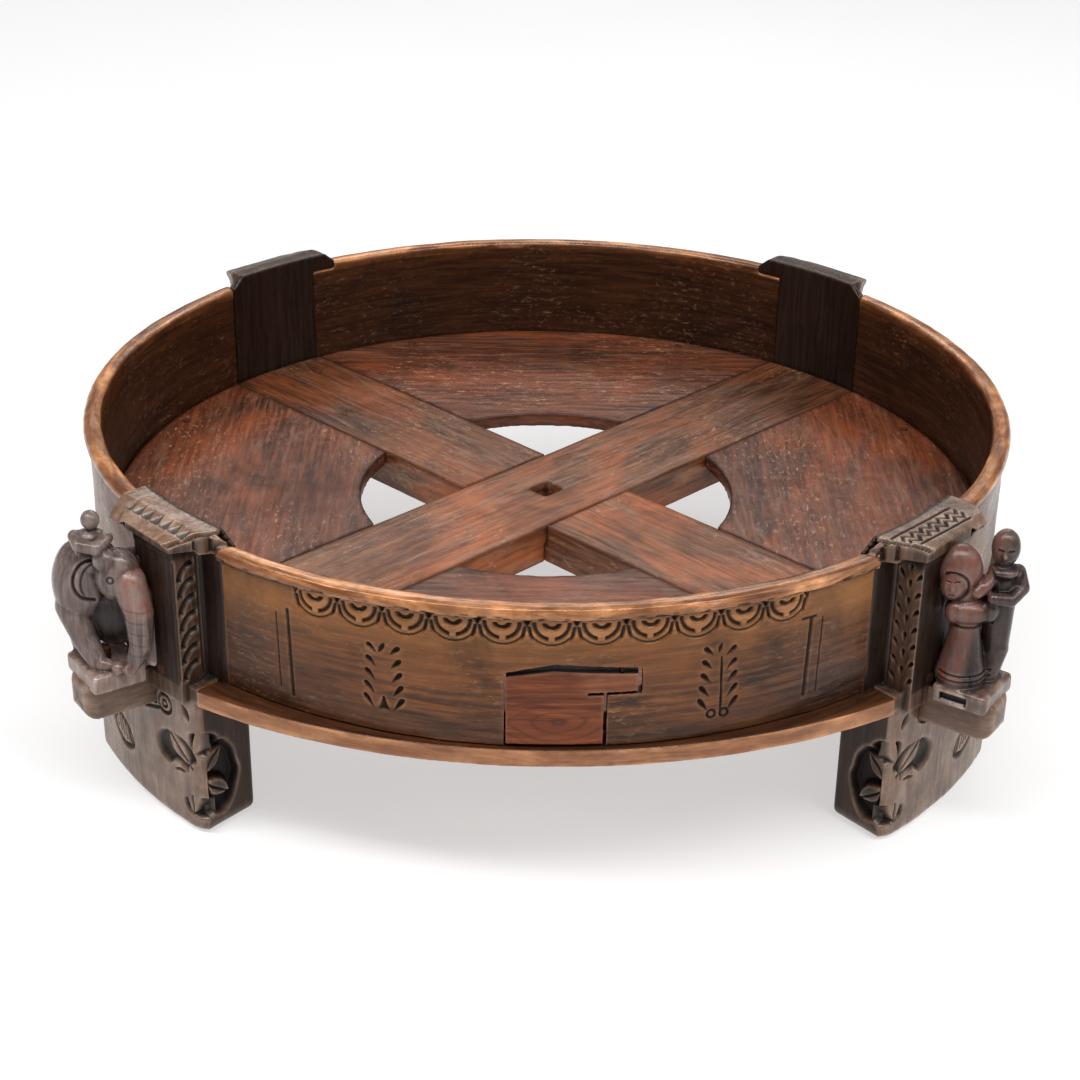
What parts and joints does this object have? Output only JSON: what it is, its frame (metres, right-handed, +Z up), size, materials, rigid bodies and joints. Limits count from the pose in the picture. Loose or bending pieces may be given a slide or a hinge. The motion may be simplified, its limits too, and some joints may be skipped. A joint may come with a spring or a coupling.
{
  "type": "carved wooden tray",
  "caption": "Round carved wooden grain-mill tray on four legs, with a crossed-beam floor, curved walls, a small swinging front gate and carved figures on two bracket bars.",
  "frame": {"origin": "on the ground under the middle of the tray", "axes": "+Z up, -Y is the front with the gate, +X to the right seen from the front"},
  "size_m": [0.66, 0.66, 0.2258],
  "materials": {
    "post_wood": "worn waxed carved hardwood",
    "beam_wood": "worn waxed hardwood",
    "rail_wood": "waxed hardwood",
    "floor_wood": "worn waxed hardwood",
    "wall_wood": "waxed carved hardwood",
    "gate_wood": "waxed hardwood",
    "carving_wood": "polished dark carved hardwood",
    "peg_wood": "waxed hardwood",
    "iron": "blackened forged iron"
  },
  "bodies": {
    "root": {"post_front_right": "post_wood", "post_front_left": "post_wood", "post_back_right": "post_wood", "post_back_left": "post_wood", "bracket_front_right": "post_wood", "bracket_front_left": "post_wood", "bracket_back_right": "post_wood", "bracket_back_left": "post_wood", "beam_upper": "beam_wood", "beam_lower": "beam_wood", "rail_front": "rail_wood", "rail_right": "rail_wood", "rail_back": "rail_wood", "rail_left": "rail_wood", "floor_board_front": "floor_wood", "floor_board_right": "floor_wood", "floor_board_back": "floor_wood", "floor_board_left": "floor_wood", "wall_front": "wall_wood", "wall_right": "wall_wood", "wall_back": "wall_wood", "wall_left": "wall_wood", "gate_pin": "iron", "elephant_carving": "carving_wood", "couple_carving": "carving_wood", "rail_nails": "iron", "floor_pegs": "peg_wood", "lap_pegs": "peg_wood", "bracket_pegs": "peg_wood", "figure_dowels": "peg_wood", "post_pegs": "peg_wood"},
    "gate": {"gate": "gate_wood"}
  },
  "joints": [
    {"name": "gate_swing", "type": "hinge", "parent": "root", "child": "gate", "pos_m": [0.0443, -0.3205, 0.158], "axis": [0, 0, 1], "range_deg": [0, 105]}
  ]
}
